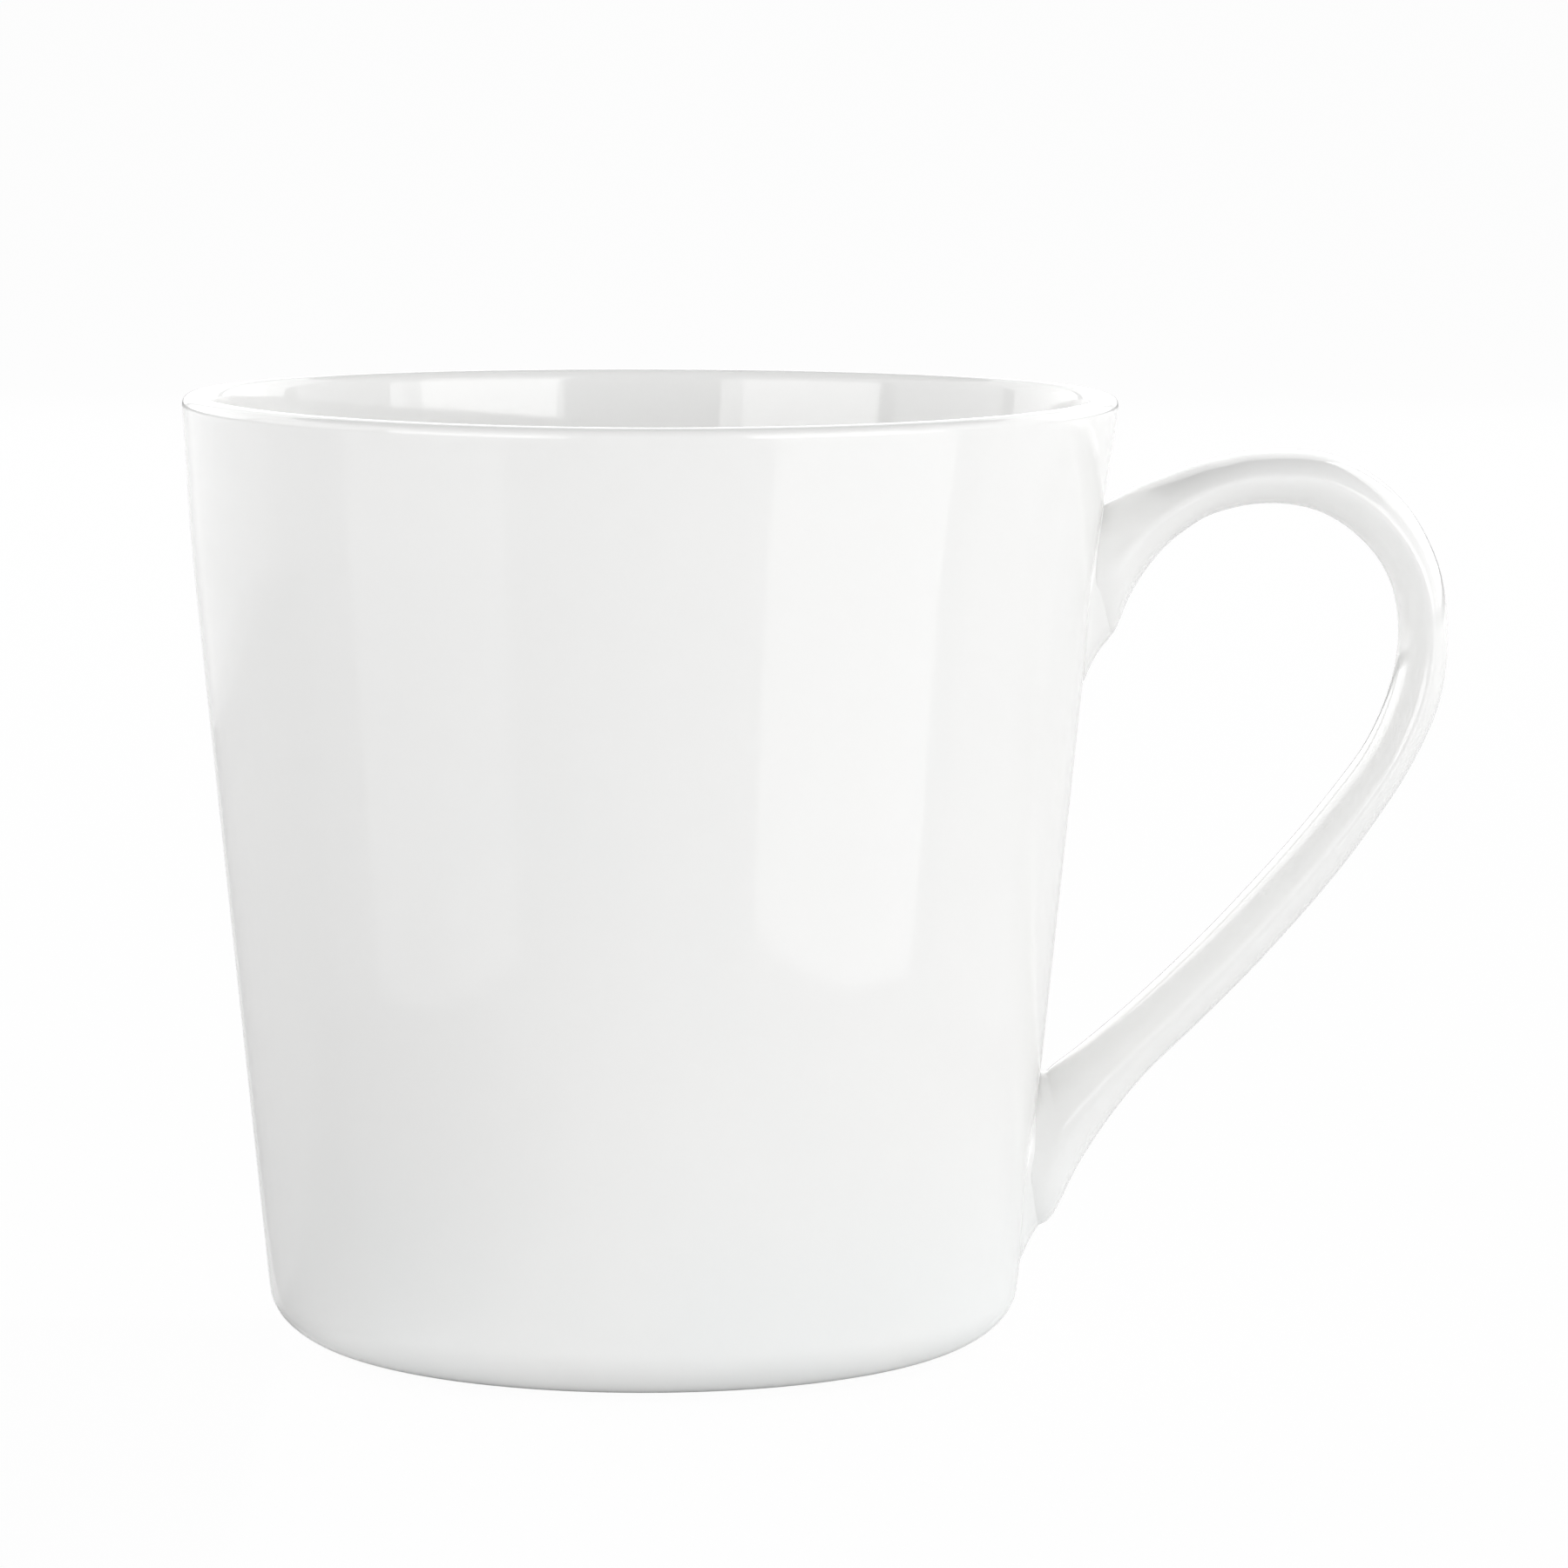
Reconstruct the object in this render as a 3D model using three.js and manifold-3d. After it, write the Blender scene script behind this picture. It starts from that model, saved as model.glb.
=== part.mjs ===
// A straight-sided ceramic mug: the cup, the bare ring it stands on, a strap handle,
// and the two beads of slip that fix the handle to the wall.
// Millimetres, +Z up. The cup's axis is Z, the table is z = 0 and the handle points to +X.
import * as THREE from "three";
import { mergeVertices } from "three/addons/utils/BufferGeometryUtils.js";
import Module from "manifold-3d";

const wasm = await Module();
wasm.setup();

// Cup
const cupHeight = 91.9; // table to the top of the lip
const rimRadius = 45; // the straight outer wall, carried up to the lip's height
const wallSlope = 0.1005; // radius gained with each mm of height
const lipThickness = 2.5; // the wall just under the lip
const baseThickness = 3.6; // and above the heel
const floorThickness = 4;
const lipRise = 1.1; // how far the lip's rounding comes down the wall
const lipInset = 1.4; // outer wall to the lip's highest line
const heelClearance = 0.5; // table to the lowest line of the rounded heel
const heelWidth = 7; // how far the heel's rounding reaches in under the wall
const heelRise = 5; // and how far it climbs
const wellWidth = 10; // the same two sizes for the corner between inner wall and floor
const wellRise = 7.5;

// Standing ring
const ringInset = 1.35; // the heel's lowest line in to the ring
const ringWidth = 2.4;
const ringHeight = 1.6;
const ringEdge = 0.4; // the rounding of its lower edges
const recessDepth = 0.8; // table to the underside within the ring

// Handle
const upperRootDrop = 18.9; // lip to the middle of the upper root
const lowerRootHeight = 18.1; // table to the middle of the lower root
const handleReach = 32.2; // wall to the strap's centre line, where that is farthest out
const strapThickness = 5.3;
const strapWidth = 12.4;
const rootLength = 18.6; // the height that the flaring strap would have on the wall
const rootWidth = 13.6;
const flareLength = 20; // the stretch of strap over which it spreads to its root
const flarePower = 2.1; // how late in that stretch the spreading comes

// Slip joints
const slipThickness = 1.6; // wall to the end of the handle
const slipLength = 17; // the slip's height on the wall
const slipWidth = 15.2;

// Clearance between pieces that meet, and how fine the curves are cut
const pieceGap = 0.3;
const turnSegments = 72;
const curveSteps = 6;
const edgeSteps = 2;
const strapSteps = 44;
const strapSides = 20;

const { clamp, lerp } = THREE.MathUtils;
const quarterTurn = Math.PI / 2;
const inSteps = (count, step) => Array.from({ length: count + 1 }, (_, i) => step(i / count));
const wallRadius = (z) => rimRadius - wallSlope * (cupHeight - z);
const upperRootHeight = cupHeight - upperRootDrop;

// Solids for manifold-3d and back

function solidOf(geometry) {
  const bare = geometry.clone();
  bare.deleteAttribute("normal");
  bare.deleteAttribute("uv");
  const merged = mergeVertices(bare);
  return new wasm.Manifold(
    new wasm.Mesh({
      numProp: 3,
      vertProperties: merged.attributes.position.array,
      triVerts: new Uint32Array(merged.index.array),
    }),
  );
}

function geometryOf(solid) {
  const { vertProperties, triVerts } = solid.getMesh();
  const geometry = new THREE.BufferGeometry();
  geometry.setAttribute("position", new THREE.BufferAttribute(vertProperties, 3));
  geometry.setIndex(new THREE.BufferAttribute(triVerts, 1));
  geometry.computeVertexNormals();
  return geometry;
}

// A profile of [radius, height] pairs, turned about Z.
function turned(profile) {
  const points = profile.map(([radius, height]) => new THREE.Vector2(radius, height));
  return new THREE.LatheGeometry(points, turnSegments).rotateX(quarterTurn);
}

// A quarter of an ellipse from the angle it starts at, in steps of [radius, height].
function quarter(radius, height, across, up, start, steps = curveSteps) {
  return inSteps(steps, (share) => {
    const angle = start + share * quarterTurn;
    return [radius + across * Math.cos(angle), height + up * Math.sin(angle)];
  });
}

// The outer wall's radius at the table, and the ring's two sides, which the cup's seat follows.
const footRadius = wallRadius(0);
const ringOuter = footRadius - heelWidth - ringInset;
const ringInner = ringOuter - ringWidth;

// The cup, from the middle of its underside round the outside to the middle of its floor. Its curves
// are drawn on an upright wall and then lean outwards with it.
function cupProfile() {
  const floorHeight = recessDepth + floorThickness;
  const seatHeight = ringHeight + pieceGap;
  const lipInner = lipThickness - lipInset;
  const wellInset = baseThickness + wellWidth;
  const lipBase = cupHeight - lipRise;
  const upright = [
    ...quarter(footRadius - heelWidth, heelClearance + heelRise, heelWidth, heelRise, -quarterTurn),
    ...quarter(footRadius - lipInset, lipBase, lipInset, lipRise, 0),
    ...quarter(footRadius - lipInset, lipBase, lipInner, lipRise, quarterTurn).slice(1),
    ...quarter(footRadius - wellInset, floorHeight + wellRise, wellWidth, -wellRise, 0),
  ];
  return [
    [0, recessDepth],
    [ringInner - pieceGap, recessDepth],
    [ringInner - pieceGap, seatHeight],
    [ringOuter + pieceGap, seatHeight],
    [ringOuter + pieceGap, heelClearance],
    ...upright.map(([radius, height]) => [radius + wallSlope * height, height]),
    [0, floorHeight],
  ];
}

// The ring's section, down its inside, across the standing face and up its outside.
function ringProfile() {
  return [
    [ringInner, ringHeight],
    ...quarter(ringInner + ringEdge, ringEdge, ringEdge, ringEdge, Math.PI, edgeSteps),
    ...quarter(ringOuter - ringEdge, ringEdge, ringEdge, ringEdge, -quarterTurn, edgeSteps),
    [ringOuter, ringHeight],
    [ringInner, ringHeight],
  ];
}

// The strap's centre line, from the upper root over the crest to the lower root. Each point is a
// share of the reach out from the wall, and a share of the height between the roots.
const centreLine = new THREE.SplineCurve(
  [
    [-0.06, 0.945],
    [0, 1.01],
    [0.07, 1.075],
    [0.19, 1.15],
    [0.36, 1.193],
    [0.53, 1.205],
    [0.7, 1.185],
    [0.86, 1.115],
    [0.965, 1.01],
    [1, 0.885],
    [0.96, 0.75],
    [0.84, 0.605],
    [0.645, 0.453],
    [0.45, 0.318],
    [0.26, 0.195],
    [0.13, 0.1],
    [0, 0],
    [-0.06, -0.06],
  ].map(([out, up]) => {
    const z = lowerRootHeight + up * (upperRootHeight - lowerRootHeight);
    return new THREE.Vector2(wallRadius(z) + out * handleReach, z);
  }),
);

// One oval ring of the strap. Towards a root it turns to lie along the wall and grows to the root's
// size. Where slip is added, the ring takes the slip's own size within its thickness of the wall.
function strapRing(share, withSlip) {
  const centre = centreLine.getPointAt(share);
  const tangent = centreLine.getTangentAt(share);
  const run = Math.min(share, 1 - share) * centreLine.getLength();
  const spread = Math.max(0, 1 - run / flareLength);
  const alongWall = new THREE.Vector2(wallSlope, 1).normalize();
  alongWall.multiplyScalar(share < 0.5 ? 1 : -1);
  const outward = new THREE.Vector2(-tangent.y, tangent.x).lerp(alongWall, spread).normalize();
  const fromWall = centre.x - wallRadius(centre.y);
  const slip = withSlip ? clamp(1 - fromWall / slipThickness, 0, 1) : 0;
  const halfThickness = lerp(lerp(strapThickness, rootLength, spread ** flarePower), slipLength, slip) / 2;
  const halfWidth = lerp(lerp(strapWidth, rootWidth, spread), slipWidth, slip) / 2;
  return Array.from({ length: strapSides }, (_, side) => {
    const angle = (2 * Math.PI * side) / strapSides;
    const up = halfThickness * Math.cos(angle);
    return new THREE.Vector3(
      centre.x + outward.x * up,
      halfWidth * Math.sin(angle),
      centre.y + outward.y * up,
    );
  });
}

// Rings joined side by side, with a fan closing each end.
function lofted(rings) {
  const sides = rings[0].length;
  const middle = (ring) =>
    ring.reduce((sum, point) => sum.add(point), new THREE.Vector3()).divideScalar(sides);
  const ends = [middle(rings[0]), middle(rings.at(-1))];
  const geometry = new THREE.BufferGeometry().setFromPoints([...rings.flat(), ...ends]);
  const firstEnd = rings.length * sides;
  const lastRing = firstEnd - sides;
  const faces = [];
  for (let side = 0; side < sides; side++) {
    const next = (side + 1) % sides;
    for (let start = 0; start < lastRing; start += sides) {
      faces.push(start + side, start + sides + side, start + next);
      faces.push(start + next, start + sides + side, start + sides + next);
    }
    faces.push(firstEnd, side, next);
    faces.push(firstEnd + 1, lastRing + next, lastRing + side);
  }
  return geometry.setIndex(faces);
}

function strap(withSlip) {
  return solidOf(lofted(inSteps(strapSteps, (share) => strapRing(share, withSlip))));
}

// The space that the wall fills when it is grown outwards by an allowance.
function grownWall(allowance) {
  const radius = (z) => wallRadius(z) + allowance;
  return solidOf(
    turned([
      [0, -rootLength],
      [radius(-rootLength), -rootLength],
      [radius(cupHeight + rootLength), cupHeight + rootLength],
      [0, cupHeight + rootLength],
    ]),
  );
}

// Slip fills the space between the wall and the handle's ends: one piece at each root.
function slipJoint(upper) {
  const beads = strap(true).intersect(grownWall(slipThickness)).subtract(grownWall(pieceGap));
  const halfway = (upperRootHeight + lowerRootHeight) / 2;
  return beads.decompose().find((piece) => {
    const { min, max } = piece.boundingBox();
    return (min[2] + max[2]) / 2 > halfway === upper;
  });
}

const glaze = new THREE.MeshStandardMaterial({ color: 0xf3f3f1, roughness: 0.1, metalness: 0 });
const bareClay = new THREE.MeshStandardMaterial({ color: 0xe8e3d9, roughness: 0.8, metalness: 0 });

const mug = new THREE.Group();

function addPiece(name, geometry, material) {
  const piece = new THREE.Mesh(geometry, material);
  piece.name = name;
  mug.add(piece);
}

addPiece("cup_body", turned(cupProfile()), glaze);
addPiece("foot_ring", turned(ringProfile()), bareClay);
addPiece("handle", geometryOf(strap(false).subtract(grownWall(slipThickness + pieceGap))), glaze);
addPiece("upper_handle_joint", geometryOf(slipJoint(true)), glaze);
addPiece("lower_handle_joint", geometryOf(slipJoint(false)), glaze);

export default mug;
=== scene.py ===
# A white glazed mug: the thrown cup, its bare foot ring, the strap handle and the slip that holds it on.
import bpy
import math
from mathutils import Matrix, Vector


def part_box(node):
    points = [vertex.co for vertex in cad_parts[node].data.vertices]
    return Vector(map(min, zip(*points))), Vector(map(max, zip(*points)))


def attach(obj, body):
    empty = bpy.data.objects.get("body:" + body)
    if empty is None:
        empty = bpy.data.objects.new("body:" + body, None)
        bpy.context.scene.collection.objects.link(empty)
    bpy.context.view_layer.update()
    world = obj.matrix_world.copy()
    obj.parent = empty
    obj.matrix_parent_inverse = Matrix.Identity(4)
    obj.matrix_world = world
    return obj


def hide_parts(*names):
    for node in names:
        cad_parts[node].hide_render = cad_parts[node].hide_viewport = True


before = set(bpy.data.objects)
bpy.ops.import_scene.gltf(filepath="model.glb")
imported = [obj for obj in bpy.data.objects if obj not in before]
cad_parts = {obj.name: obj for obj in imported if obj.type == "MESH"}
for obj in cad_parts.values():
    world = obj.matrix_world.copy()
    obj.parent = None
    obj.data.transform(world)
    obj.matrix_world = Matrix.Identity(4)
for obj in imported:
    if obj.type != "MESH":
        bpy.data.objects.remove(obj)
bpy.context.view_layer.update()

cupLow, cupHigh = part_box("cup_body")
ringLow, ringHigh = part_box("foot_ring")
strapLow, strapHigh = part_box("handle")
ringOutside = -ringLow.x
mm = 0.001


# Small helpers for working on one piece at a time

def deselectAll():
    bpy.ops.object.select_all(action="DESELECT")


def startRing(name, sides, radius, place, turn=(0, 0, 0), fill="NGON"):
    deselectAll()
    bpy.ops.mesh.primitive_circle_add(
        vertices=sides, radius=radius, fill_type=fill, location=place, rotation=turn
    )
    piece = bpy.context.object
    piece.name = name
    piece.data.name = name
    bpy.ops.object.transform_apply(location=True, rotation=True, scale=True)
    bpy.ops.object.mode_set(mode="EDIT")
    return piece


def pullRing(move):
    bpy.ops.mesh.extrude_region_move(TRANSFORM_OT_translate={"value": move})


def sizeRing(factors, centre):
    bpy.ops.transform.resize(value=factors, center_override=centre)


def pickPoints(piece, wanted):
    bpy.ops.mesh.select_all(action="DESELECT")
    bpy.ops.object.mode_set(mode="OBJECT")
    for point in piece.data.vertices:
        point.select = wanted(point.co)
    bpy.ops.object.mode_set(mode="EDIT")


def turnRing(angle, centre):
    # without a window the operator turns +X up towards +Z
    bpy.ops.transform.rotate(value=angle, orient_axis="Y", center_override=centre)


def faceOutwards():
    bpy.ops.mesh.select_all(action="SELECT")
    bpy.ops.mesh.normals_make_consistent(inside=False)
    bpy.ops.object.mode_set(mode="OBJECT")


def smoothOff(piece, levels):
    deselectAll()
    piece.select_set(True)
    bpy.context.view_layer.objects.active = piece
    rounding = piece.modifiers.new("rounding", "SUBSURF")
    rounding.levels = levels
    rounding.render_levels = levels
    bpy.ops.object.modifier_apply(modifier=rounding.name)
    bpy.ops.object.shade_smooth()


def quarterTurn(steps, squareness=2.0):
    # shares across and up along a quarter of a rounded corner, from (1, 0) to (0, 1)
    power = 2 / squareness
    angles = [math.pi / 2 * step / steps for step in range(steps + 1)]
    return [(max(math.cos(a), 0) ** power, max(math.sin(a), 0) ** power) for a in angles]


def easeIn(share):
    share = min(max(share, 0), 1)
    return share * share * (3 - 2 * share)


# The cup

cup = {
    "sides": 96,
    "wallSlope": 0.1005,  # radius gained with each unit of height
    "lipWall": 2.5 * mm,
    "heelWall": 3.6 * mm,
    "floor": 4 * mm,
    "recess": 0.8 * mm,
    "lipOutside": (1.63 * mm, 1.28 * mm),
    "lipInside": (0.87 * mm, 1.1 * mm),
    "lipSquareness": 2.7,
    "heel": (7 * mm, 5 * mm),
    "well": (10 * mm, 7.5 * mm),
    # the seat of the foot ring, out from the ring's outer edge and up from the table
    "ringSeat": [
        (-2.7 * mm, 0.82 * mm),
        (-2.3 * mm, 1.3 * mm),
        (-1.2 * mm, 1.4 * mm),
        (-0.3 * mm, 1.3 * mm),
        (0.1 * mm, 0.85 * mm),
    ],
    "seatRim": (0.7 * mm, 0.56 * mm),
    "startRadius": 4 * mm,
    "undersideRings": (0.3, 0.6, 0.85),  # shares of the foot ring's radius
    "floorRings": (0.45, 0.25, 0.1),  # shares of the wall's radius at the table
    "cornerSteps": 14,
    "lipSteps": (9, 8),
    "wallRings": 22,
    "warpDepth": 16 * mm,  # how far down from the lip the kiln has pulled it out of round
    "warpShrink": 0.3 * mm,
    "warpOval": 0.0067,
    "warpLean": 0.55 * mm,
    "warpSaddle": 0.17 * mm,
}
rimRadius = 45 * mm


def wallRadius(height):
    return rimRadius - cup["wallSlope"] * (cupHigh.z - height)


def cupRings():
    # radius and height of every ring, from the middle of the underside round to the middle of the floor
    foot = wallRadius(0)
    heelIn, heelUp = cup["heel"]
    wellIn, wellUp = cup["well"]
    lipOut, lipDown = cup["lipOutside"]
    lipIn, lipDrop = cup["lipInside"]
    floorTop = cup["recess"] + cup["floor"]
    seatIn, seatUp = cup["seatRim"]
    rings = [(ringOutside * share, cup["recess"]) for share in cup["undersideRings"]]
    rings += [(ringOutside + across, up) for across, up in cup["ringSeat"]]
    rings.append((foot - heelIn - seatIn, seatUp))

    def leaned(radius, height):
        return (radius + cup["wallSlope"] * height, height)

    corner = quarterTurn(cup["cornerSteps"])
    for across, up in reversed(corner):
        rings.append(leaned(foot - heelIn * (1 - across), cupLow.z + heelUp * (1 - up)))
    low, high = cupLow.z + heelUp, cupHigh.z - lipDown
    steps = cup["wallRings"]
    for step in range(1, steps):
        rings.append(leaned(foot, low + (high - low) * step / steps))
    outsideSteps, insideSteps = cup["lipSteps"]
    for across, up in quarterTurn(outsideSteps, cup["lipSquareness"]):
        rings.append(leaned(foot - lipOut * (1 - across), high + lipDown * up))
    for across, up in reversed(quarterTurn(insideSteps)[:-1]):
        rings.append(leaned(foot - lipOut - lipIn * across, cupHigh.z - lipDrop * (1 - up)))
    top = cupHigh.z - lipDrop
    bottom = floorTop + wellUp
    for step in range(1, steps):
        share = step / steps
        wall = cup["lipWall"] + (cup["heelWall"] - cup["lipWall"]) * share
        rings.append(leaned(foot - wall, top + (bottom - top) * share))
    for across, up in corner:
        radius = foot - cup["heelWall"] - wellIn * (1 - across)
        rings.append(leaned(radius, floorTop + wellUp * (1 - up)))
    rings += [(foot * share, floorTop) for share in cup["floorRings"]]
    return rings


def throwCup():
    level = cup["recess"]
    wide = deep = cup["startRadius"]
    centre = 0
    piece = startRing("glazed_cup", cup["sides"], wide, (0, 0, level))
    for radius, height in cupRings():
        warp = easeIn(1 - (cupHigh.z - height) / cup["warpDepth"])
        drawnIn = radius - cup["warpShrink"] * warp
        newWide = drawnIn * (1 + cup["warpOval"] * warp)
        newDeep = drawnIn * (1 - cup["warpOval"] * warp)
        newCentre = cup["warpLean"] * warp
        height -= cup["warpSaddle"] * warp
        pullRing((newCentre - centre, 0, height - level))
        sizeRing((newWide / wide, newDeep / deep, 1), (newCentre, 0, height))
        wide, deep, centre, level = newWide, newDeep, newCentre, height
    # the lip stands a little higher at the handle and opposite it than at the drinker's sides
    lift = 2 * cup["warpSaddle"]
    pickPoints(piece, lambda point: point.z > cupHigh.z - lift and abs(point.y) < 1 * mm)
    bpy.ops.transform.translate(
        value=(0, 0, lift),
        use_proportional_edit=True,
        proportional_edit_falloff="SMOOTH",
        proportional_size=rimRadius * math.sqrt(2),
    )
    faceOutwards()
    return piece


glazedCup = throwCup()
smoothOff(glazedCup, 1)
print("cup:", len(glazedCup.data.polygons), "faces")


# The foot ring, wiped clean of glaze

footRing = {
    "sides": 96,
    "width": 2.4 * mm,
    "edge": 0.4 * mm,
    "topWidth": 3 * mm,
    "straightTo": 0.72 * mm,  # up from the table, where the sides start to widen
    "shoulder": 1.35 * mm,
    "top": 1.6 * mm,
    "topEdge": 0.5 * mm,
}


def turnFootRing():
    inner = ringOutside - footRing["width"]
    edge = footRing["edge"]
    flare = (footRing["topWidth"] - footRing["width"]) / 2
    corner = quarterTurn(4)
    rings = [(inner - flare, footRing["shoulder"]), (inner, footRing["straightTo"])]
    rings += [(inner + edge * (1 - across), edge * (1 - up)) for across, up in corner]
    rings += [(inner + footRing["width"] / 2, 0)]
    rings += [(ringOutside - edge * (1 - across), edge * (1 - up)) for across, up in reversed(corner)]
    rings += [(ringOutside, footRing["straightTo"]), (ringOutside + flare, footRing["shoulder"])]
    rings += [(ringOutside - footRing["topEdge"], footRing["top"])]
    rings += [(inner + footRing["topEdge"], footRing["top"])]
    radius, level = rings[0]
    piece = startRing("bare_foot_ring", footRing["sides"], radius, (0, 0, level), fill="NOTHING")
    for newRadius, height in rings[1:]:
        pullRing((0, 0, height - level))
        sizeRing((newRadius / radius, newRadius / radius, 1), (0, 0, height))
        radius, level = newRadius, height
    bpy.ops.mesh.select_all(action="SELECT")
    bpy.ops.mesh.region_to_loop()
    bpy.ops.mesh.bridge_edge_loops()
    faceOutwards()
    return piece


bareFootRing = turnFootRing()
smoothOff(bareFootRing, 1)
print("foot ring:", len(bareFootRing.data.polygons), "faces")


# The strap handle. Each station is where the outer edge and the inner edge lie, as shares of the
# handle's box: out from the wall, and up.

strap = {
    "sides": 24,
    "width": 12.4 * mm,
    "rootWidth": 13.6 * mm,
    "rootReach": 0.22,  # share of the strap's length over which it widens to each root
    "noseLine": 0.43,  # how far in from the outer edge the strap is widest
    "ridge": 1.05,
    "stepsBetween": 3,
    "stations": [
        (0.104, 0.913, 0.083, 0.738),
        (0.142, 0.929, 0.153, 0.754),
        (0.176, 0.939, 0.174, 0.770),
        (0.210, 0.949, 0.193, 0.796),
        (0.246, 0.957, 0.219, 0.823),
        (0.287, 0.965, 0.254, 0.850),
        (0.333, 0.974, 0.295, 0.875),
        (0.383, 0.983, 0.351, 0.898),
        (0.440, 0.990, 0.413, 0.916),
        (0.526, 0.998, 0.531, 0.929),
        (0.712, 0.993, 0.665, 0.921),
        (0.878, 0.938, 0.777, 0.885),
        (0.975, 0.853, 0.854, 0.831),
        (1.001, 0.764, 0.879, 0.762),
        (0.984, 0.676, 0.859, 0.692),
        (0.920, 0.597, 0.806, 0.623),
        (0.839, 0.528, 0.731, 0.566),
        (0.713, 0.438, 0.607, 0.486),
        (0.537, 0.333, 0.431, 0.385),
        (0.398, 0.259, 0.292, 0.313),
        (0.306, 0.213, 0.209, 0.273),
        (0.251, 0.184, 0.156, 0.249),
        (0.171, 0.132, 0.079, 0.216),
        (0.099, 0.075, 0.024, 0.195),
        (0.065, 0.042, 0.005, 0.186),
        (0.035, 0.008, -0.010, 0.187),
        (0.000, -0.015, -0.023, 0.182),
        (-0.065, -0.021, -0.041, 0.171),
    ],
}


def between(before, start, end, after, share):
    # a smooth value from start to end that also heads for its neighbours
    slope = end - before
    bend = 2 * before - 5 * start + 4 * end - after
    swing = 3 * start - before - 3 * end + after
    return start + 0.5 * (slope * share + bend * share**2 + swing * share**3)


def strapSections():
    # nose place, thickness and lean of each section along the strap
    stations = strap["stations"]
    steps = strap["stepsBetween"]
    count = (len(stations) - 1) * steps
    size = strapHigh - strapLow
    sections = []
    for number in range(count + 1):
        index = min(number // steps, len(stations) - 2)
        share = number / steps - index
        around = [stations[min(max(index + k, 0), len(stations) - 1)] for k in (-1, 0, 1, 2)]
        outerX, outerZ, innerX, innerZ = (between(*values, share) for values in zip(*around))
        outer = (strapLow.x + outerX * size.x, strapLow.z + outerZ * size.z)
        inner = (strapLow.x + innerX * size.x, strapLow.z + innerZ * size.z)
        across = (outer[0] - inner[0], outer[1] - inner[1])
        nose = (outer[0] - strap["noseLine"] * across[0], outer[1] - strap["noseLine"] * across[1])
        end = min(number, count - number) / count
        flare = easeIn(1 - end / strap["rootReach"])
        width = strap["width"] + (strap["rootWidth"] - strap["width"]) * flare
        sections.append((nose, math.hypot(*across), math.atan2(across[1], across[0]), width))
    return sections


def pullStrap():
    sections = strapSections()
    place, thick, lean, wide = sections[0]
    start = (place[0], 0, place[1])
    half = 0.5  # the circle is one unit across, so that a resize gives it its real size
    piece = startRing("strap_handle", strap["sides"], half, start)
    # the circle becomes the strap's section: its outer half is shallower than its inner half
    for side, depth in ((1, 2 * strap["noseLine"]), (-1, 2 * (1 - strap["noseLine"]))):
        pickPoints(piece, lambda point: side * (point.x - place[0]) > 1e-6)
        sizeRing((depth, 1, 1), start)
    # a soft ridge runs along each side where the two halves of the mould met
    pickPoints(piece, lambda point: abs(point.y) > 0.998 * half)
    sizeRing((1, strap["ridge"], 1), start)
    bpy.ops.mesh.select_all(action="SELECT")
    sizeRing((thick, wide, 1), start)
    turnRing(lean, start)
    for newPlace, newThick, newLean, newWide in sections[1:]:
        centre = (newPlace[0], 0, newPlace[1])
        pullRing((newPlace[0] - place[0], 0, newPlace[1] - place[1]))
        turnRing(-lean, centre)
        sizeRing((newThick / thick, newWide / wide, 1), centre)
        turnRing(newLean, centre)
        place, thick, lean, wide = newPlace, newThick, newLean, newWide
    faceOutwards()
    return piece


strapHandle = pullStrap()
smoothOff(strapHandle, 1)
print("handle:", len(strapHandle.data.polygons), "faces")


# The slip beads that fix the handle to the wall. Each is modelled lying flat, facing -Y, as rings from
# inside the strap to inside the wall, then bent round the wall and set in place.

slip = {
    "sides": 40,
    # off the wall, lowest and highest edge above the bead's middle, half width
    "rings": [
        (2.6, -5.6, 4.0, 4.2),
        (2.0, -6.4, 4.9, 5.2),
        (1.5, -7.1, 5.4, 5.8),
        (1.0, -8.0, 5.8, 6.3),
        (0.55, -9.1, 6.15, 6.75),
        (0.2, -10.2, 6.45, 7.15),
        (-0.05, -11.2, 6.7, 7.6),
        (-0.8, -11.0, 6.5, 7.4),
    ],
    "upperMiddle": 75 * mm,
    "lowerMiddle": 18.6 * mm,
}


def layBead(name):
    rings = [[value * mm for value in ring] for ring in slip["rings"]]
    off, low, high, half = rings[0]
    piece = startRing(name, slip["sides"], 1, (0, -off, (low + high) / 2), turn=(math.pi / 2, 0, 0))
    sizeRing((half, 1, (high - low) / 2), (0, -off, (low + high) / 2))
    for newOff, newLow, newHigh, newHalf in rings[1:]:
        newCentre = (newLow + newHigh) / 2
        pullRing((0, off - newOff, newCentre - (low + high) / 2))
        tall = (newHigh - newLow) / (high - low)
        sizeRing((newHalf / half, 1, tall), (0, -newOff, newCentre))
        off, low, high, half = newOff, newLow, newHigh, newHalf
    faceOutwards()
    smoothOff(piece, 1)
    return piece


def setBead(piece, middle):
    # bent to the wall's radius there, then turned to face the handle and leaned back with the wall
    radius = wallRadius(middle)
    bend = piece.modifiers.new("bend to the wall", "SIMPLE_DEFORM")
    bend.deform_method = "BEND"
    bend.deform_axis = "Z"
    bend.angle = piece.dimensions.x / radius
    bpy.ops.object.modifier_apply(modifier=bend.name)
    piece.rotation_euler = (math.atan(cup["wallSlope"]), 0, math.pi / 2)
    piece.location = (radius, 0, middle)
    bpy.ops.object.transform_apply(location=True, rotation=True, scale=True)


upperSlip = layBead("upper_slip_bead")
setBead(upperSlip, slip["upperMiddle"])
lowerSlip = layBead("lower_slip_bead")
setBead(lowerSlip, slip["lowerMiddle"])
print("slip beads:", len(upperSlip.data.polygons), "faces each")


# Glaze and clay. The wet-looking ripple, pinholes and fired specks are shared by every glazed piece.

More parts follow.
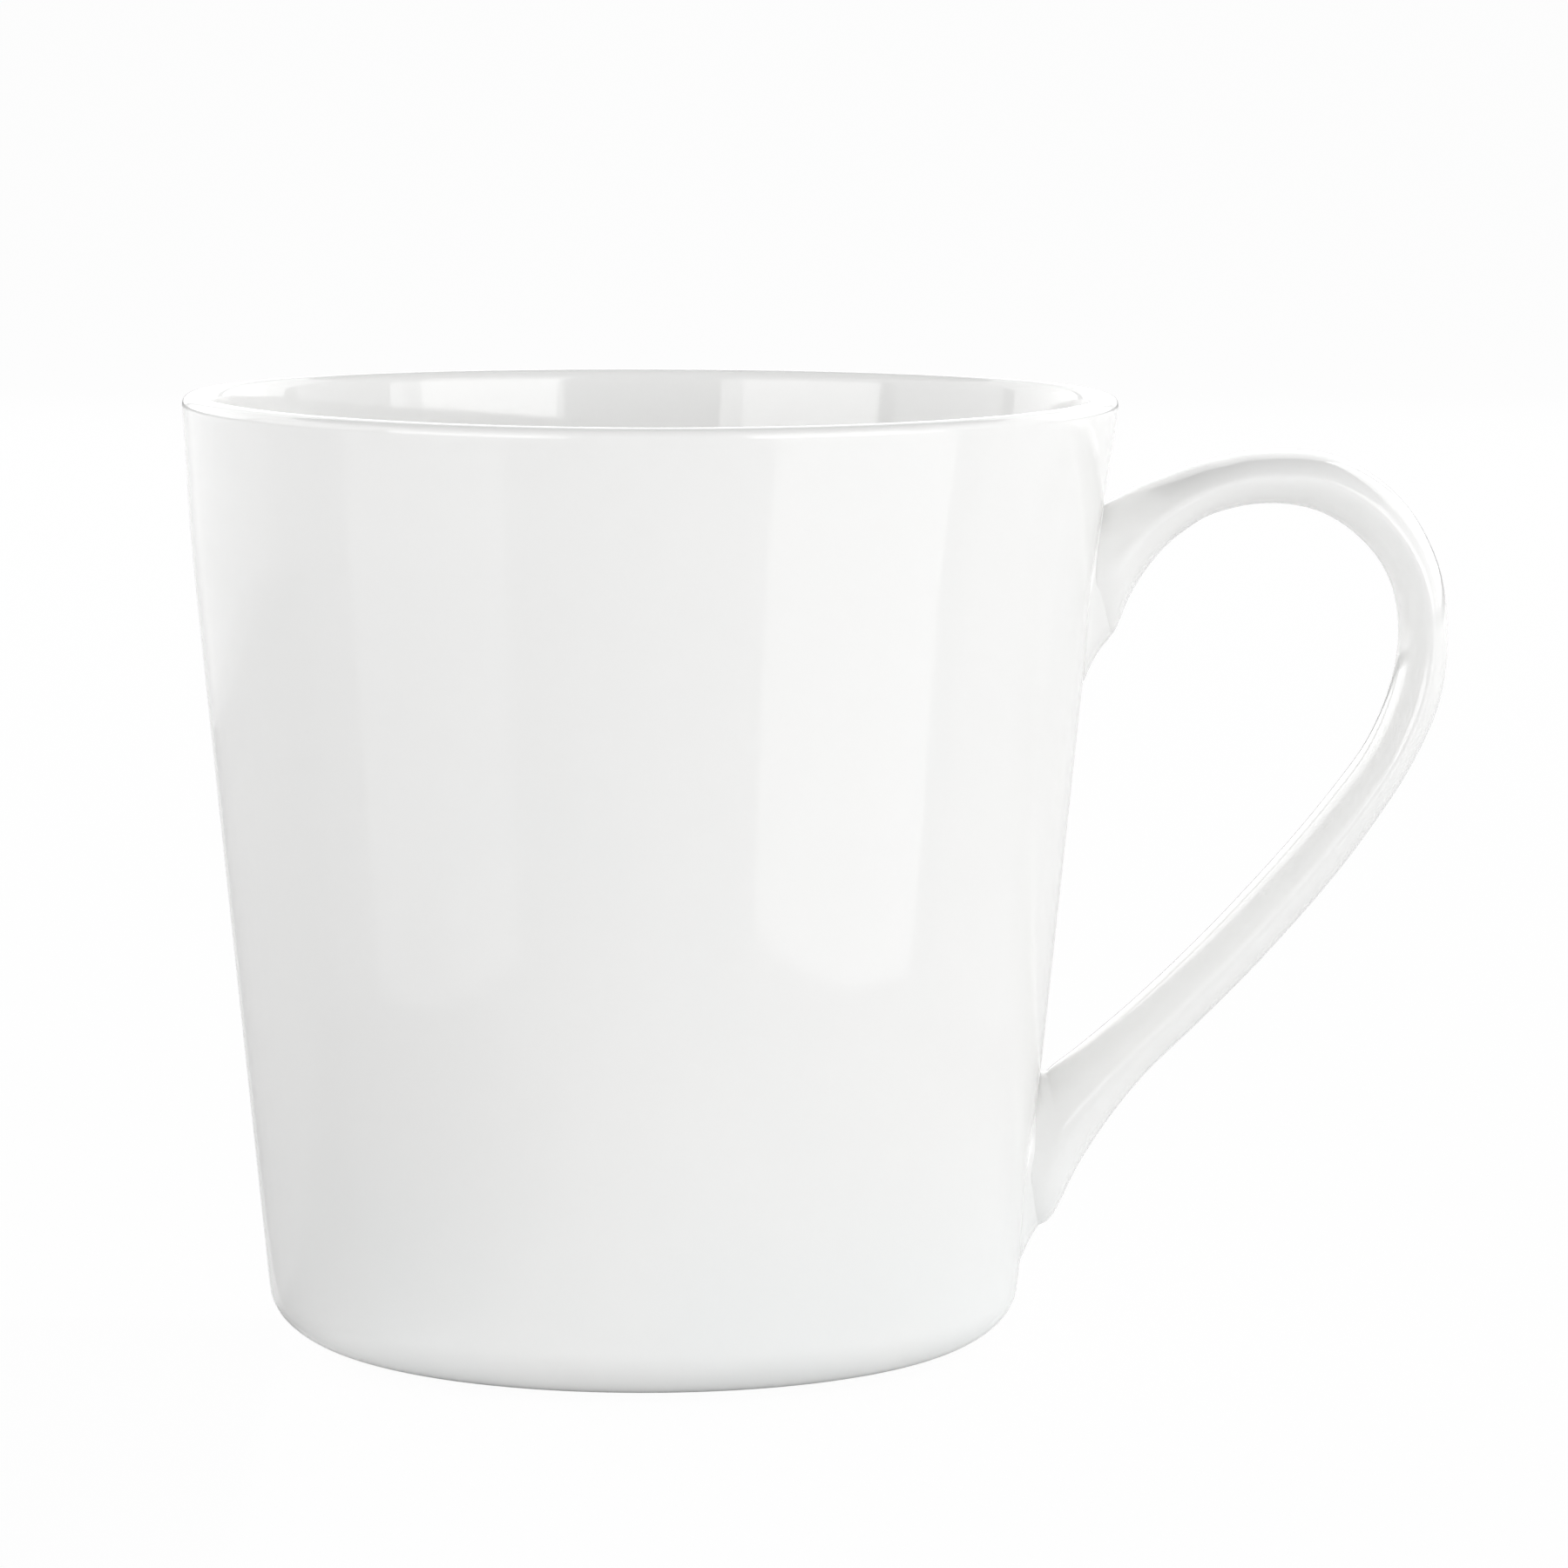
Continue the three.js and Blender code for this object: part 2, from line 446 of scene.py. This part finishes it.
glaze = {
    "colour": (0.93, 0.93, 0.922),
    "pooled": (0.9, 0.912, 0.908),  # where it ran thick
    "speck": (0.62, 0.58, 0.52),
    "roughness": 0.055,
    "ior": 1.52,
    "rippleSize": 9 * mm,
    "rippleHeight": 0.016 * mm,
    "peelSize": 1.1 * mm,
    "peelHeight": 0.0008 * mm,
    "speckSpacing": 7 * mm,
    "speckRadius": 0.13 * mm,
    "speckShare": 0.06,  # of the cells that hold one
    "speckDepth": 0.02 * mm,
    "pooledBelow": (4 * mm, 30 * mm),  # thickest up to the first height, thin from the second
    "patchSize": 28 * mm,
    "wipedSize": 14 * mm,
}
clay = {
    "colour": (0.79, 0.765, 0.72),
    "scuffed": (0.56, 0.54, 0.51),
    "roughness": 0.78,
    "grainSize": 0.35 * mm,
    "grainHeight": 0.02 * mm,
    "patchSize": 6 * mm,
    "scuffHeight": 0.25 * mm,  # how far up from the table the scuffing reaches
}


def newGroup(title, inputs, outputs):
    group = bpy.data.node_groups.new(title, "ShaderNodeTree")
    for name, kind in inputs:
        group.interface.new_socket(name=name, in_out="INPUT", socket_type="NodeSocket" + kind)
    for name, kind in outputs:
        group.interface.new_socket(name=name, in_out="OUTPUT", socket_type="NodeSocket" + kind)
    return group, group.nodes.new("NodeGroupInput"), group.nodes.new("NodeGroupOutput")


def calculate(tree, operation, first, second=None, third=None):
    node = tree.nodes.new("ShaderNodeMath")
    node.operation = operation
    for socket, value in zip(node.inputs, (first, second, third)):
        if value is None:
            continue
        if isinstance(value, (int, float)):
            socket.default_value = value
        else:
            tree.links.new(value, socket)
    return node.outputs[0]


def spread(tree, value, low, high, newLow, newHigh):
    # carries a value from one range to another, and eases at both ends
    node = tree.nodes.new("ShaderNodeMapRange")
    node.interpolation_type = "SMOOTHSTEP"
    tree.links.new(value, node.inputs["Value"])
    for name, number in (("From Min", low), ("From Max", high), ("To Min", newLow), ("To Max", newHigh)):
        if isinstance(number, (int, float)):
            node.inputs[name].default_value = number
        else:
            tree.links.new(number, node.inputs[name])
    return node.outputs["Result"]


def noise(tree, place, size, detail=2.0, roughness=0.5):
    node = tree.nodes.new("ShaderNodeTexNoise")
    node.inputs["Detail"].default_value = detail
    node.inputs["Roughness"].default_value = roughness
    tree.links.new(place, node.inputs["Vector"])
    if isinstance(size, (int, float)):
        node.inputs["Scale"].default_value = 1 / size
    else:
        tree.links.new(calculate(tree, "DIVIDE", 1, size), node.inputs["Scale"])
    return node.outputs["Fac"]


def blendColours(tree, share, first, second):
    node = tree.nodes.new("ShaderNodeMix")
    node.data_type = "RGBA"
    tree.links.new(share, node.inputs["Factor"])
    for socket, value in ((node.inputs["A"], first), (node.inputs["B"], second)):
        if isinstance(value, tuple):
            socket.default_value = (*value, 1)
        else:
            tree.links.new(value, socket)
    return node.outputs["Result"]


def makeRipple():
    # the slow waves and the fine orange peel of a glaze that melted and set
    group, given, result = newGroup(
        "glaze ripple",
        [("Place", "Vector"), ("Wave Size", "Float"), ("Wave Height", "Float"),
         ("Peel Size", "Float"), ("Peel Height", "Float")],
        [("Height", "Float")],
    )
    wave = noise(group, given.outputs["Place"], given.outputs["Wave Size"], 1.5)
    peel = noise(group, given.outputs["Place"], given.outputs["Peel Size"], 1.0)
    wave = calculate(group, "MULTIPLY", wave, given.outputs["Wave Height"])
    height = calculate(group, "MULTIPLY_ADD", peel, given.outputs["Peel Height"], wave)
    group.links.new(height, result.inputs["Height"])
    return group


def makeSpecks():
    # a few pinholes and fired specks, one in some of the cells of a grid
    group, given, result = newGroup(
        "fired specks",
        [("Place", "Vector"), ("Spacing", "Float"), ("Radius", "Float"), ("Share", "Float")],
        [("Mask", "Float")],
    )
    cells = group.nodes.new("ShaderNodeTexVoronoi")
    group.links.new(given.outputs["Place"], cells.inputs["Vector"])
    group.links.new(calculate(group, "DIVIDE", 1, given.outputs["Spacing"]), cells.inputs["Scale"])
    away = calculate(group, "MULTIPLY", cells.outputs["Distance"], given.outputs["Spacing"])
    picked = group.nodes.new("ShaderNodeSeparateColor")
    group.links.new(cells.outputs["Color"], picked.inputs["Color"])
    chosen = calculate(group, "LESS_THAN", picked.outputs["Red"], given.outputs["Share"])
    size = calculate(group, "MULTIPLY", picked.outputs["Green"], given.outputs["Radius"])
    dot = spread(group, away, 0, size, 1, 0)
    group.links.new(calculate(group, "MULTIPLY", dot, chosen), result.inputs["Mask"])
    return group


ripple = makeRipple()
specks = makeSpecks()


def placeGroup(tree, group, place, **values):
    node = tree.nodes.new("ShaderNodeGroup")
    node.node_tree = group
    tree.links.new(place, node.inputs["Place"])
    for name, value in values.items():
        node.inputs[name.replace("_", " ")].default_value = value
    return node


def startMaterial(title):
    material = bpy.data.materials.new(title)
    material.use_nodes = True
    tree = material.node_tree
    shader = tree.nodes["Principled BSDF"]
    place = tree.nodes.new("ShaderNodeTexCoord").outputs["Object"]
    return material, tree, shader, place


def raiseSurface(tree, shader, height):
    bump = tree.nodes.new("ShaderNodeBump")
    bump.inputs["Strength"].default_value = 1
    bump.inputs["Distance"].default_value = 1
    tree.links.new(height, bump.inputs["Height"])
    tree.links.new(bump.outputs["Normal"], shader.inputs["Normal"])


def makeGlaze():
    material, tree, shader, place = startMaterial("white glaze")
    shader.inputs["IOR"].default_value = glaze["ior"]
    surface = placeGroup(
        tree, ripple, place,
        Wave_Size=glaze["rippleSize"], Wave_Height=glaze["rippleHeight"],
        Peel_Size=glaze["peelSize"], Peel_Height=glaze["peelHeight"],
    ).outputs["Height"]
    speck = placeGroup(
        tree, specks, place,
        Spacing=glaze["speckSpacing"], Radius=glaze["speckRadius"], Share=glaze["speckShare"],
    ).outputs["Mask"]
    axes = tree.nodes.new("ShaderNodeSeparateXYZ")
    tree.links.new(place, axes.inputs["Vector"])
    # the glaze ran down as it melted: a little thicker above the foot, on the floor and in slow patches
    low = spread(tree, axes.outputs["Z"], *glaze["pooledBelow"], 1, 0)
    patch = noise(tree, place, glaze["patchSize"], 3.0)
    thick = calculate(tree, "MULTIPLY", low, spread(tree, patch, 0.35, 0.65, 0.35, 1))
    thick = calculate(tree, "MAXIMUM", thick, spread(tree, patch, 0.5, 0.75, 0, 0.25))
    colour = blendColours(tree, thick, glaze["colour"], glaze["pooled"])
    colour = blendColours(tree, speck, colour, glaze["speck"])
    tree.links.new(colour, shader.inputs["Base Color"])
    wiped = noise(tree, place, glaze["wipedSize"], 4.0, 0.6)
    rough = spread(tree, wiped, 0.35, 0.7, glaze["roughness"] * 0.75, glaze["roughness"] * 1.35)
    tree.links.new(rough, shader.inputs["Roughness"])
    dented = calculate(tree, "MULTIPLY_ADD", speck, -glaze["speckDepth"], surface)
    raiseSurface(tree, shader, dented)
    return material


def makeClay():
    material, tree, shader, place = startMaterial("bare clay")
    axes = tree.nodes.new("ShaderNodeSeparateXYZ")
    tree.links.new(place, axes.inputs["Vector"])
    grain = noise(tree, place, clay["grainSize"], 6.0, 0.7)
    patch = noise(tree, place, clay["patchSize"], 4.0)
    worn = spread(tree, axes.outputs["Z"], 0, clay["scuffHeight"], 1, 0)
    worn = calculate(tree, "MULTIPLY", worn, spread(tree, patch, 0.42, 0.62, 0.05, 0.55))
    worn = calculate(tree, "MULTIPLY", worn, spread(tree, grain, 0.4, 0.6, 0.5, 1))
    tree.links.new(blendColours(tree, worn, clay["colour"], clay["scuffed"]), shader.inputs["Base Color"])
    rough = spread(tree, grain, 0.3, 0.7, clay["roughness"] * 0.88, clay["roughness"] * 1.1)
    tree.links.new(rough, shader.inputs["Roughness"])
    raiseSurface(tree, shader, calculate(tree, "MULTIPLY", grain, clay["grainHeight"]))
    return material


whiteGlaze = makeGlaze()
bareClay = makeClay()
for piece in (glazedCup, strapHandle, upperSlip, lowerSlip, bareFootRing):
    piece.data.materials.clear()
    piece.data.materials.append(bareClay if piece is bareFootRing else whiteGlaze)
    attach(piece, "root")
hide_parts("cup_body")
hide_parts("foot_ring")
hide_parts("handle")
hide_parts("upper_handle_joint")
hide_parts("lower_handle_joint")
print("materials: glaze and clay")


# Studio: white paper, a ring of soft boxes, and cards and panels that only the glaze sees

studio = {
    "paperSize": 60,
    "paperColour": (0.9, 0.9, 0.9, 1),
    "paperRoughness": 0.9,
    "paperShine": 0.2,
    "paperGlow": 0.97,  # how far the paper is washed out to white
    # the white cove round the table is brighter than the ceiling, and the glaze mirrors more of it
    "sky": {"level": 0.71, "overhead": 0.2, "mirrored": 0.25, "fade": (0.05, 0.75)},
    "boxDistance": 1.3,
    "boxHeight": 22,  # degrees above the table
    "boxSize": 0.95,
    # degrees round the mug from the camera's side towards the handle, and watts
    "boxes": [
        (-135, 4),
        (-90, 2.8),
        (-45, 3.7),
        (45, 6),
        (90, 1.9),
        (135, 4.8),
        (180, 2.6),
    ],
    "cardLift": 1 * mm,
    # where each card shows across the mug, from -1 to 1, how far off it starts and ends, its glow, and
    # how much of the paper under it still shows through
    "cards": [
        (0.263, 0.645, 130 * mm, 1.6, 0.9, 1),
        (0.7, 0.9, 130 * mm, 1.6, 0.17, 1),
        (-0.64, -0.3, 120 * mm, 1.6, 0.55, 1),
        (-0.98, -0.81, 450 * mm, 1.6, 0.15, 1),
        (-0.99, -0.74, 2 * mm, 450 * mm, 0, 0.75),
    ],
    # degrees round the mug, lowest and highest edge, width and glow of each upright panel
    "panels": [
        (49, 0.02, 0.5, 1.25, 2.2),
        (-42, 0.02, 0.5, 1.1, 2.1),
    ],
    "plate": {"fullTo": 30 * mm, "noneFrom": 47 * mm, "glow": 0.015, "lift": 0.1 * mm},
    # a grey film on the paper that dims its bounce onto the cup's far side from the main light
    "shade": {"place": (-95 * mm, -50 * mm, 0.5 * mm), "size": 120 * mm, "shows": 0.68},
}


def layPaper():
    deselectAll()
    bpy.ops.mesh.primitive_plane_add(size=studio["paperSize"])
    paper = bpy.context.object
    paper.name = "paper"
    material = bpy.data.materials.new("white paper")
    material.use_nodes = True
    tree = material.node_tree
    shader = tree.nodes["Principled BSDF"]
    shader.inputs["Base Color"].default_value = studio["paperColour"]
    shader.inputs["Roughness"].default_value = studio["paperRoughness"]
    shader.inputs["Specular IOR Level"].default_value = studio["paperShine"]
    glow = tree.nodes.new("ShaderNodeEmission")
    mix = tree.nodes.new("ShaderNodeMixShader")
    seen = tree.nodes.new("ShaderNodeLightPath").outputs["Is Camera Ray"]
    tree.links.new(calculate(tree, "MULTIPLY", seen, studio["paperGlow"]), mix.inputs["Fac"])
    tree.links.new(shader.outputs["BSDF"], mix.inputs[1])
    tree.links.new(glow.outputs["Emission"], mix.inputs[2])
    tree.links.new(mix.outputs["Shader"], tree.nodes["Material Output"].inputs["Surface"])
    paper.data.materials.append(material)


def addSoftBox(name, turn, power):
    turn, rise = math.radians(turn), math.radians(studio["boxHeight"])
    away = Vector((math.sin(turn) * math.cos(rise), -math.cos(turn) * math.cos(rise), math.sin(rise)))
    middle = Vector((0, 0, cupHigh.z / 2))
    bpy.ops.object.light_add(type="AREA", location=middle + away * studio["boxDistance"])
    box = bpy.context.object
    box.name = name
    box.data.shape = "SQUARE"
    box.data.size = studio["boxSize"]
    box.data.energy = power
    box.visible_camera = False
    box.rotation_euler = away.to_track_quat("Z", "Y").to_euler()


def dressCard(card, strength, shows=1):
    # a card is seen only in the glaze: it adds its glow to whatever shows through it
    material = bpy.data.materials.new(card.name)
    material.use_nodes = True
    tree = material.node_tree
    glow = tree.nodes.new("ShaderNodeEmission")
    glow.inputs["Strength"].default_value = strength
    film = tree.nodes.new("ShaderNodeBsdfTransparent")
    film.inputs["Color"].default_value = (shows, shows, shows, 1)
    both = tree.nodes.new("ShaderNodeAddShader")
    tree.links.new(glow.outputs["Emission"], both.inputs[0])
    tree.links.new(film.outputs["BSDF"], both.inputs[1])
    tree.links.new(both.outputs["Shader"], tree.nodes["Material Output"].inputs["Surface"])
    card.data.materials.append(material)
    card.visible_camera = False
    card.visible_diffuse = False
    card.visible_shadow = False
    return tree, glow


def startCard(name, place, turn=(0, 0, 0), size=1):
    deselectAll()
    bpy.ops.mesh.primitive_plane_add(size=size, location=place, rotation=turn)
    card = bpy.context.object
    card.name = name
    bpy.ops.object.transform_apply(location=True, rotation=True, scale=True)
    bpy.ops.object.mode_set(mode="EDIT")
    return card


def layCard(name, left, right, near, far, strength, shows):
    card = startCard(name, (0, 0, studio["cardLift"]))
    radius = wallRadius(cupHigh.z / 2)
    tiny = 0.1 * mm
    # each corner goes where a look at the wall is thrown down onto the paper
    for acrossSide, side in ((-1, left), (1, right)):
        for depthSide, distance in ((-1, near), (1, far)):
            angle = math.asin(side)
            start = Vector((acrossSide / 2, depthSide / 2))
            end = radius * Vector((math.sin(angle), -math.cos(angle)))
            end += distance * Vector((math.sin(2 * angle), -math.cos(2 * angle)))
            pickPoints(card, lambda point: (point.xy - start).length < tiny)
            bpy.ops.transform.translate(value=(*(end - start), 0))
    bpy.ops.object.mode_set(mode="OBJECT")
    dressCard(card, strength, shows)


def standPanel(name, turn, low, high, width, strength):
    turn = math.radians(turn)
    away = Vector((math.sin(turn), -math.cos(turn), 0)) * studio["boxDistance"]
    middle = away + Vector((0, 0, (low + high) / 2))
    card = startCard(name, middle, turn=(math.pi / 2, 0, turn))
    sizeRing((width, width, high - low), middle)
    bpy.ops.object.mode_set(mode="OBJECT")
    dressCard(card, strength)


def layPlate():
    # lights the heel from below, as a lit table does
    lit = studio["plate"]
    plate = startCard("lit_plate", (0, 0, lit["lift"]), size=4 * lit["noneFrom"])
    bpy.ops.object.mode_set(mode="OBJECT")
    tree, glow = dressCard(plate, lit["glow"])
    place = tree.nodes.new("ShaderNodeTexCoord").outputs["Object"]
    away = tree.nodes.new("ShaderNodeVectorMath")
    away.operation = "LENGTH"
    tree.links.new(place, away.inputs[0])
    strength = spread(tree, away.outputs["Value"], lit["fullTo"], lit["noneFrom"], lit["glow"], 0)
    tree.links.new(strength, glow.inputs["Strength"])
    plate.visible_diffuse = True


def layShade():
    shade = startCard("grey_film", studio["shade"]["place"], size=studio["shade"]["size"])
    bpy.ops.object.mode_set(mode="OBJECT")
    dressCard(shade, 0, studio["shade"]["shows"])
    shade.visible_diffuse = True
    shade.visible_glossy = False


layPaper()
for number, box in enumerate(studio["boxes"]):
    addSoftBox(f"soft_box_{number + 1}", *box)
for number, card in enumerate(studio["cards"]):
    layCard(f"card_{number + 1}", *card)
for number, panel in enumerate(studio["panels"]):
    standPanel(f"panel_{number + 1}", *panel)
layPlate()
layShade()

sky = bpy.data.worlds.new("studio")
sky.use_nodes = True
cove = sky.node_tree
cove.nodes["Background"].inputs["Color"].default_value = (1, 1, 1, 1)
upwards = cove.nodes.new("ShaderNodeSeparateXYZ")
cove.links.new(cove.nodes.new("ShaderNodeTexCoord").outputs["Generated"], upwards.inputs["Vector"])
light = studio["sky"]
brightness = spread(cove, upwards.outputs["Z"], *light["fade"], light["level"], light["overhead"])
mirrored = cove.nodes.new("ShaderNodeLightPath").outputs["Is Glossy Ray"]
brightness = calculate(cove, "MULTIPLY_ADD", mirrored, light["mirrored"], brightness)
cove.links.new(brightness, cove.nodes["Background"].inputs["Strength"])
bpy.context.scene.world = sky
bpy.context.scene.view_settings.view_transform = "Standard"
print("studio:", len(studio["boxes"]), "soft boxes")

view = {
    "place": (0.001438, -0.7199, 0.1388),
    "turn": 0.957,
    "tilt": 6.692,
    "roll": 0.194,
    "lens": 172.35,
    "sensor": 36,
}
bpy.ops.object.camera_add(location=view["place"])
camera = bpy.context.object
camera.data.lens = view["lens"]
camera.data.sensor_width = view["sensor"]
camera.rotation_euler = (math.radians(90 - view["tilt"]), 0, math.radians(-view["turn"]))
camera.rotation_euler.rotate_axis("Z", math.radians(view["roll"]))
bpy.context.scene.camera = camera
